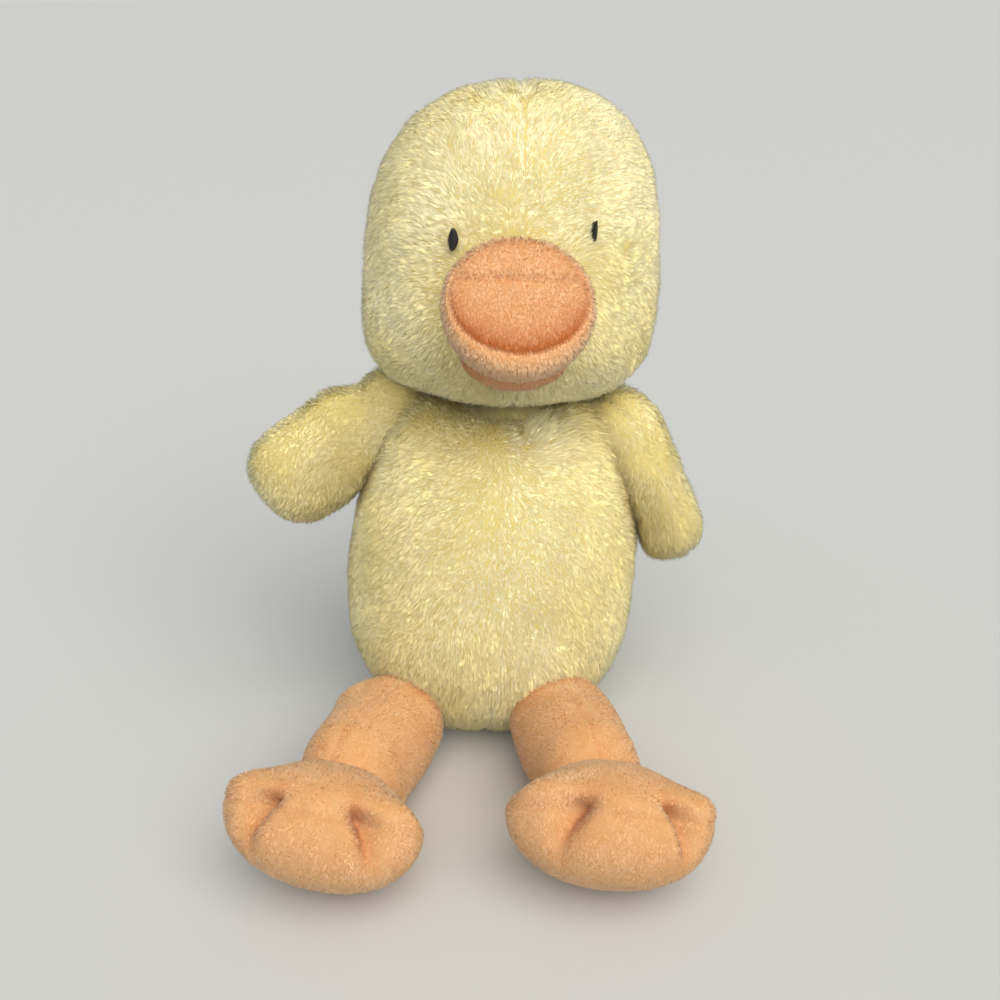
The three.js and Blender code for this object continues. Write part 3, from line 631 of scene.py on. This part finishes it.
# Velour ground: the dull knit under the nap, a little uneven where the dye took.
velour_backing = backing_material("Knitted velour ground", "#d6a068", "#e0af7c", velour_shade_colour, size=5)
velour_inset = 0.5
bill_sizes = dict(half_width=23.6, half_depth=21, above=8, below=18, power_above=2.5, power_below=2.5)
bill_aside, bill_height, bill_reach, bill_tilt, bill_seam, bill_seam_tilt = 2, 3, 8.8, 27, 4.4, 5
bill_fold, bill_from = 8, 30
bill_place = Vector((-bill_aside, front_at(head_sizes, 0, bill_height) - bill_reach, bill_height)) * MM
bill_frame = head_frame @ Matrix.Translation(bill_place) @ turned(("X", 90 - bill_tilt))
bill_seam_frame = bill_frame @ Matrix.Translation((0, 0, bill_seam * MM)) @ turned(("X", -bill_seam_tilt))
bm = plump(bill_sizes, velour_inset, sides=128, rings=96)
bm.transform(bill_seam_frame.inverted() @ bill_frame)
for v in bm.verts:
    if v.co.z > 0:
        v.co.z = 0.4 * math.sqrt(v.co.z * 3.2 * MM)
    else:
        v.co.x *= 1 - 0.06 * min(-v.co.z / (2 * MM), 1)
bm.transform(bill_seam_frame)
crease(bm, bill_seam_frame, axis=2, depth=-0.4, width=1.6, middle=-2.2)
crease(bm, bill_seam_frame, axis=2, depth=1.0, width=0.6)
crease(bm, bill_seam_frame, axis=1, depth=0.9, width=1.2, middle=bill_fold, where=lambda p: p.z > 0)
bill = finished("bill_padding", bm, velour_backing)


def on_bill_top(points):
    return within(bill_seam_frame, points)[:, 2] > 0


def behind_bill_fold(points):
    return within(bill_seam_frame, points)[:, 1] >= bill_fold


def clear_of_face(points):
    return within(head_frame, points)[:, 1] < -bill_from


def bill_fold_shade(points):
    """Painted shade in the seam inside the rolled edge, towards the front edge of the top and in the fold
    across its back.
    """
    local = within(bill_seam_frame, points)
    on_top = local[:, 2] > 0
    seam_width = np.where(on_top, 1.0, 0.6)
    seam = np.exp(-((local[:, 2] / seam_width) ** 2)) * np.clip(0.6 - local[:, 1] / 20, 0.3, 1)
    front = np.clip((-local[:, 1] - 12) / 7, 0, 1) ** 2 * on_top
    back = np.exp(-(((local[:, 1] - bill_fold) / 1.2) ** 2)) * on_top
    return np.maximum(np.maximum(seam, 0.4 * front), 0.35 * back)


paint_shade(bill, bill_fold_shade)
sewn(bill, "head", "peach_velour", "bill_stuffing", "bill_top_panel", "bill_underside_panel")


def nap_on(name, piece, body_name, seed, deep, length=1.3, keep=None, per_mm2=9, tint=0.0, lean=24):
    """Short nap on a velour piece, all over it or where keep says."""
    roots, normals = roots_on(piece, per_mm2, seed)
    if keep is not None:
        here = keep(roots)
        roots, normals = roots[here], normals[here]
    combs = np.tile([0.0, 0.0, -1.0], (len(roots), 1))
    lean = lean + 6 * waves(seed + 4, 6)(roots)
    tint = tint + 0.3 * waves(seed + 5, 12)(roots)
    nap = lay_pile(name, roots, normals, combs, length, lean, width=0.24, material=velour_nap, seed=seed,
                   tuft=0.7, clump=1.6, spread=0.8, facet=0.32, tint=tint, deep=deep(roots))
    pile_on(nap, body_name)


nap_on("bill_top_nap", bill, "head", 101, bill_fold_shade, length=2.3, tint=1.0, lean=38,
       keep=lambda p: on_bill_top(p) & ~behind_bill_fold(p))
nap_on("bill_back_nap", bill, "head", 104, bill_fold_shade, length=3.2, tint=0.8, lean=32,
       keep=lambda p: on_bill_top(p) & behind_bill_fold(p) & clear_of_face(p))
nap_on("bill_rim_nap", bill, "head", 107, bill_fold_shade, length=2.1, tint=1.3, lean=38,
       keep=lambda p: ~on_bill_top(p) & clear_of_face(p))

# The lip: a small soft pad of the same velour, sewn to the face close under the bill.
lip_sizes = dict(half_width=16.5, half_depth=11, above=10, below=10, power_above=2, power_below=2)
lip_drop, lip_reach, lip_tilt, lip_from = 16, 4, 12, 34
lip_height = bill_height - lip_drop
lip_place = Vector((-bill_aside, front_at(head_sizes, 0, lip_height) - lip_reach, lip_height)) * MM
lip_frame = head_frame @ Matrix.Translation(lip_place) @ turned(("X", lip_tilt))
bm = plump(lip_sizes, velour_inset, sides=64, rings=32)
bm.transform(lip_frame)
lip = finished("bill_lip_padding", bm, velour_backing)
sewn(lip, "head", "peach_velour", "bill_lower_lip")


def lip_shade_under_bill(points):
    """Painted shade all over the lip, which lies in the shade of the bill."""
    return np.full(len(points), 0.3)


paint_shade(lip, lip_shade_under_bill)
nap_on("bill_lip_nap", lip, "head", 111, lip_shade_under_bill, keep=lambda p: within(head_frame, p)[:, 1] < -lip_from)

# Eyes: two almonds of satin stitch, strands of black thread laid side by side over a padded core.
# They are sewn by hand, so they aren't quite level, and the left one is slimmer.
eye_sizes = dict(half_width=1.7, half_depth=1.6, above=3.5, below=3.5, power_above=1.6, power_below=1.6)
eye_aside, eye_height, eye_uneven, eye_reach = 21, 22.8, 1.9, 0.9
stitch_pitch, stitch_slant, stitch_overhang, eye_point = 0.3, 0.25, 0.15, 3.6
# Embroidery thread: tightly twisted rayon, nearly black, with a small soft gloss on each strand.
thread_black, tree, shader = new_material("Twisted rayon embroidery thread")
shader.inputs["Base Color"].default_value = linear("#1d1a18")
shader.inputs["Roughness"].default_value = 0.38
for side, sign, slim, tall in (("right", -1, 0.95, 0.95), ("left", 1, 0.42, 0.85)):
    height = eye_height + eye_uneven * sign
    front = front_at(head_sizes, eye_aside, height)
    place = Vector((sign * eye_aside, front - eye_reach, height)) * MM
    round_head = math.degrees(math.atan2(eye_aside, -front))
    eye_frame = head_frame @ Matrix.Translation(place) @ turned(("Z", sign * round_head))
    half_width = eye_sizes["half_width"] * slim
    bm = plump(dict(eye_sizes, half_width=half_width), inset=0.3, sides=24, rings=16)
    for i in range(-11, 12):
        row = i * stitch_pitch
        narrowing = max(1 - (abs(row) / eye_point) ** 1.6, 0.0) ** 0.7
        reach = (half_width + stitch_overhang) * narrowing + stitch_overhang
        strand = bmesh.ops.create_uvsphere(bm, u_segments=12, v_segments=6, radius=1.0)["verts"]
        for v in strand:
            x = v.co.x
            padded = eye_sizes["half_depth"] * math.sqrt(max(1 - (abs(x) * 0.95) ** 2, 0))
            v.co = Vector((x * reach, v.co.y * 0.2 - padded, v.co.z * 0.19 + row + stitch_slant * x)) * MM
    bm.transform(eye_frame @ Matrix.Scale(tall, 4, (0, 0, 1)))
    eye = finished(f"eye_{side}_stitches", bm, thread_black)
    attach(eye, "head")
    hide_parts(f"eye_{side}")

# Wings: a front and a back plush panel sewn round the edge and lightly filled. The left one hangs
# with its broad side flat against the body.
wing_length, wing_half_width, wing_half_thickness, wing_power = 56, 19, 13, 3
wing_widest, wing_filled, wing_flat_tilt, wing_gap = 0.62, 0.32, 26, 1.3


def limb(stations, sides=64):
    """A profile of (along, half width, half depth) spun round the limb's own axis."""
    bm = bmesh.new()
    verts = [bm.verts.new((max(width, 0.0) * MM, 0, along * MM)) for along, width, _ in stations]
    edges = [bm.edges.new(pair) for pair in zip(verts, verts[1:])]
    bmesh.ops.spin(bm, geom=verts + edges, cent=(0, 0, 0), axis=(0, 0, 1), angle=math.tau,
                   steps=sides, use_merge=True)
    bmesh.ops.remove_doubles(bm, verts=bm.verts, dist=1e-6)
    alongs = [s[0] for s in stations]
    ratios = [s[2] / s[1] if s[1] > 0 else 1.0 for s in stations]
    for v in bm.verts:
        v.co.y *= float(np.interp(v.co.z / MM, alongs, ratios))
    bmesh.ops.recalc_face_normals(bm, faces=bm.faces)
    return bm


def root_stations(root, steps=12):
    """The round end of a limb, which lies inside the form that it is sewn to."""
    turns = [i / steps * math.pi / 2 for i in range(steps)]
    return [(-root * math.cos(turn), root * math.sin(turn), root * math.sin(turn)) for turn in turns]


def wing_stations(inset, steps=40):
    """From the shoulder seam the wing widens and thickens, and closes in a blunt round tip."""
    root = shoulder_radius - inset
    stations = root_stations(root)
    for i in range(steps + 1):
        share = i / steps
        filled = math.sin(min(share / wing_filled, 1) * math.pi / 2) ** 2
        past = max(share - wing_widest, 0) / (1 - wing_widest)
        end = max(1 - math.sin(past * math.pi / 2) ** wing_power, 0.0) ** (1 / wing_power)
        along = min(share, wing_widest) + (1 - wing_widest) * math.sin(past * math.pi / 2)
        width = (root + (wing_half_width - shoulder_radius) * filled) * end
        depth = (root + (wing_half_thickness - shoulder_radius) * filled) * end
        stations.append((along * (wing_length - inset), width if i < steps else 0.0, depth))
    return stations


# How far from the body's middle a flat board at the wing's tilt would touch the body's side.
tilt = math.radians(wing_flat_tilt)
dual = body_sizes["power_above"] / (body_sizes["power_above"] - 1)
flat_reach = (
    (body_sizes["half_width"] * math.cos(tilt)) ** dual + (body_sizes["above"] * math.sin(tilt)) ** dual
) ** (1 / dual)
for side, sign, wing_crown, wing_share in (("right", -1, 1.0, 0.985), ("left", 1, 3.0, 0.93)):
    wing_frame = wing_frames[side]
    bm = limb(wing_stations(plush_inset))
    bm.transform(wing_frame)

    def past_shoulder(co):
        beyond = (co - shoulders[side]).length - shoulder_radius * MM
        return min(1.0, max(0.0, beyond / (4 * MM)))

    outward = body_frame.to_3x3() @ Vector((sign * math.cos(tilt), 0, math.sin(tilt)))
    board = body_frame.translation + outward * (flat_reach + wing_gap) * MM
    press(bm, board, away=outward, softness=1.0 * MM, share=past_shoulder)
    bulge(bm, head, reach=18, height=8.0)
    crown = wing_frame @ (Vector((0, 0, 14)) * MM) + Vector((0, 0, 16)) * MM
    swell(bm, crown, reach=16, height=wing_crown)
    bmesh.ops.scale(bm, verts=bm.verts, vec=(1, 1, wing_share), space=wing_frame.inverted())
    crease(bm, wing_frame, axis=1, depth=1.0, width=1.4)
    wing = finished(f"wing_{side}_padding", bm, plush_backing)
    sewn(wing, f"wing_{side}", "yellow_plush",
         f"wing_{side}_stuffing", f"wing_{side}_front_panel", f"wing_{side}_back_panel")
    roots, normals = roots_on(wing, per_mm2=5.4, seed=121 + sign)
    local = within(wing_frame, roots)
    tipward = np.asarray(wing_frame)[:3, 2]
    combs = np.tile(tipward * 0.8 + np.array([0, 0, -0.5]), (len(roots), 1))
    for i in range(3):
        combs[:, i] += 0.4 * waves(131 + i, 24)(roots) + 0.25 * waves(141 + i, 8)(roots)
    # Painted shade: deep darkens the pile where the wing meets the body and the head.
    deep = 0.85 * closeness(roots, body_middle, body_egg, reach=5)
    deep = np.maximum(deep, 0.6 * closeness(roots, head_frame @ head_middle, (46, 44, 48), reach=4))
    calm = np.clip(0.45 + 0.5 * waves(45, 22)(roots) - deep, 0, 1)
    for panel, here in (("front", local[:, 1] < 0), ("back", local[:, 1] >= 0)):
        length = 3.5 + 2.2 * deep[here] + 0.4 * waves(42, 20)(roots[here])
        lean = 36 + 9 * waves(41, 14)(roots[here])
        # Painted shade: the tint darkens the whole wing, and a little painted shade lies over all of it.
        tint = 0.3 * waves(43, 26)(roots[here]) - 0.7
        pile = lay_pile(f"wing_{side}_{panel}_pile", roots[here], normals[here], combs[here], length, lean,
                        plush_blade, plush_pile, seed=151, clump=plush_clump,
                        tint=tint, deep=np.maximum(deep[here], 0.08), calm=calm[here])
        pile_on(pile, f"wing_{side}")

# Legs: short velour tubes with one seam along the top, filled loosely so that they lie forward on the
# floor, and sewn to the front of the body and to the back of the foot.
leg_length, leg_half_width, ankle_radius, leg_tube, leg_inset = 26.5, 18.5, 16.5, 0.5, 0.6


def leg_stations(inset, steps=40):
    """From the hip seam a tube, a little full in the middle, and then a round end inside the foot."""
    root = hip_radius - inset
    stations = root_stations(root)
    for i in range(steps + 1):
        share = i / steps
        if share <= leg_tube:
            on = share / leg_tube
            fullness = (leg_half_width - (hip_radius + ankle_radius) / 2) * math.sin(on * math.pi)
            radius = hip_radius + (ankle_radius - hip_radius) * on + fullness - inset
            stations.append((on * leg_length, radius, radius))
        else:
            turn = (share - leg_tube) / (1 - leg_tube) * math.pi / 2
            radius = (ankle_radius - inset) * math.cos(turn) if i < steps else 0.0
            stations.append((leg_length + (ankle_radius - inset) * math.sin(turn), radius, radius))
    return stations


# Feet: an upper and a sole of velour sewn together round a webbed toe edge. The toes are only pinches
# stitched through that edge, which leave a bulging middle toe and a knob on either side.
foot_sizes = dict(half_width=30.5, half_depth=27, above=21, below=22, power_above=2, power_below=2.2)
foot_toe, foot_heel, foot_pitch, foot_reach, foot_lift = 29, 25, 46, 25, 3
foot_taper, foot_slim, instep_dip = 0.36, 0.48, 0.2
instep_length, instep_rise, instep_flare = 36, 9, 0.05
pinch_depth, pinch_above, pinch_below, pinch_angle, pinch_span, pinch_skew = 10, 5, 10, 28, 7, 1.0
knob_height, knob_radius, knob_reach, knob_angle, knob_out = 6, 8, 8, 48, 0.9


def pinch_toes(bm, inset, toe_turn):
    """Spreads the form towards its toes and draws it in at the two stitched pinches."""
    wide, deep = foot_sizes["half_width"], foot_sizes["half_depth"]
    for v in bm.verts:
        angle = math.degrees(math.atan2(v.co.x, -v.co.y)) - toe_turn
        x, y = v.co.x / MM * wide / (wide - inset), v.co.y / MM * wide / (wide - inset)
        up = v.co.z / MM
        pinch_reach = pinch_above if up > 0 else pinch_below
        edge = math.exp(-((up / pinch_reach) ** 2)) * ((x / wide) ** 2 + (y / deep) ** 2)
        v.co.x *= (1 - foot_taper * y / deep) * (1 - foot_slim * max(up, 0) / foot_sizes["above"])
        if up > 0:
            v.co.z *= 1 - instep_dip * math.exp(-((x / 24) ** 2))
        for way in (-1, 1):
            drawn = math.exp(-(((angle - way * (pinch_angle - pinch_skew * up)) / pinch_span) ** 2)) * edge
            v.co *= 1 - pinch_depth / wide * drawn
            at = math.radians(way * knob_angle + toe_turn)
            away = math.hypot(x - knob_out * wide * math.sin(at), y + knob_out * deep * math.cos(at))
            v.co.z += knob_height * MM * math.exp(-((away / knob_radius) ** 2) - (up / knob_reach) ** 2)


# The two sides are set by hand, so they differ. Each foot comes first, because the leg swells to it.
for side, sign, splay, hip_fullness, foot_turn, foot_roll, foot_aside, toe_turn in (
    ("right", -1, 21, 3.5, 10, 5, 3.5, 2),
    ("left", 1, 14.5, 1.0, -9, 0, 0, 12),
):
    leg_frame = Matrix.Translation(hips[side]) @ turned(("Z", sign * splay), ("X", 90))
    foot_middle = leg_frame @ (Vector((0, 0, leg_length + foot_reach)) * MM)
    foot_middle += Vector((foot_aside, 0, foot_lift)) * MM
    foot_turned = turned(("Z", sign * foot_turn), ("X", -foot_pitch), ("Y", foot_roll))
    foot_frame = Matrix.Translation(foot_middle) @ foot_turned
    toe_frame = foot_frame @ Matrix.Translation((0, (foot_heel - foot_toe) / 2 * MM, 0))
    foot_bm = plump(foot_sizes, leg_inset, sides=180, rings=96)
    pinch_toes(foot_bm, leg_inset, toe_turn)
    foot_bm.transform(toe_frame)
    settle(foot_bm)
    crease(foot_bm, foot_frame, axis=2, depth=0.4, width=0.9)
    foot = finished(f"foot_{side}_padding", foot_bm, velour_backing)
    bm = limb(leg_stations(leg_inset))
    bm.transform(leg_frame)
    inward = leg_frame.inverted()
    for v in bm.verts:
        down_leg = inward @ v.co
        on = min(max(down_leg.z / MM, 0) / instep_length, 1)
        on *= on * (3 - 2 * on)
        high = max((v.co.z / MM - leg_middle) / hip_radius, 0)
        v.co += leg_frame.to_3x3() @ Vector((down_leg.x * instep_flare * on, 0, 0))
        v.co.z += instep_rise * MM * on * math.sqrt(high)
    bulge(bm, foot, reach=16, height=4.0)
    swell(bm, leg_frame @ (Vector((sign * 14, 9, 3)) * MM), reach=8, height=hip_fullness)
    crease(bm, leg_frame, axis=0, depth=0.7, width=0.9, where=lambda p: p.y > 0)
    leg = finished(f"leg_{side}_padding", bm, velour_backing)
    sewn(leg, f"leg_{side}", "peach_velour", f"leg_{side}_stuffing", f"leg_{side}_panel")

    def leg_fold_shade(points):
        """Painted shade at the gathered edge by the body, and faintly along the seam on top."""
        local = within(leg_frame, points)
        cuff = closeness(points, body_frame, (50, 41, 50), reach=5) * (0.8 + 0.4 * waves(47, 7)(points))
        return np.maximum(cuff, 0.2 * np.exp(-((local[:, 0] / 0.9) ** 2)) * (local[:, 1] > 0))

    paint_shade(leg, leg_fold_shade)
    nap_on(f"leg_{side}_nap", leg, f"leg_{side}", 161 + sign, leg_fold_shade)

    sewn(foot, f"foot_{side}", "peach_velour",
         f"foot_{side}_stuffing", f"foot_{side}_upper_panel", f"foot_{side}_sole_panel")

    def foot_fold_shade(points):
        """Painted shade in the two pinches between the toes, and faintly along the seam round the edge."""
        local = within(toe_frame, points)
        x, y, up = local.T
        untapered = x / (1 - foot_taper * y / foot_sizes["half_depth"])
        angle = np.degrees(np.arctan2(untapered, -y)) - toe_turn
        out = np.hypot(x / foot_sizes["half_width"], y / foot_sizes["half_depth"])
        edge = np.exp(-((up / np.where(up > 0, 6, 10)) ** 2))
        at = pinch_angle - pinch_skew * up
        pinches = sum(np.exp(-(((angle - way * at) / 6) ** 2)) for way in (-1, 1))
        folds = 0.9 * pinches * edge * np.clip(out * 1.6 - 0.5, 0, 1)
        return np.maximum(folds, 0.12 * np.exp(-((within(foot_frame, points)[:, 2] / 1.0) ** 2)))

    paint_shade(foot, foot_fold_shade)
    nap_on(f"foot_{side}_nap", foot, f"foot_{side}", 171 + sign, foot_fold_shade)
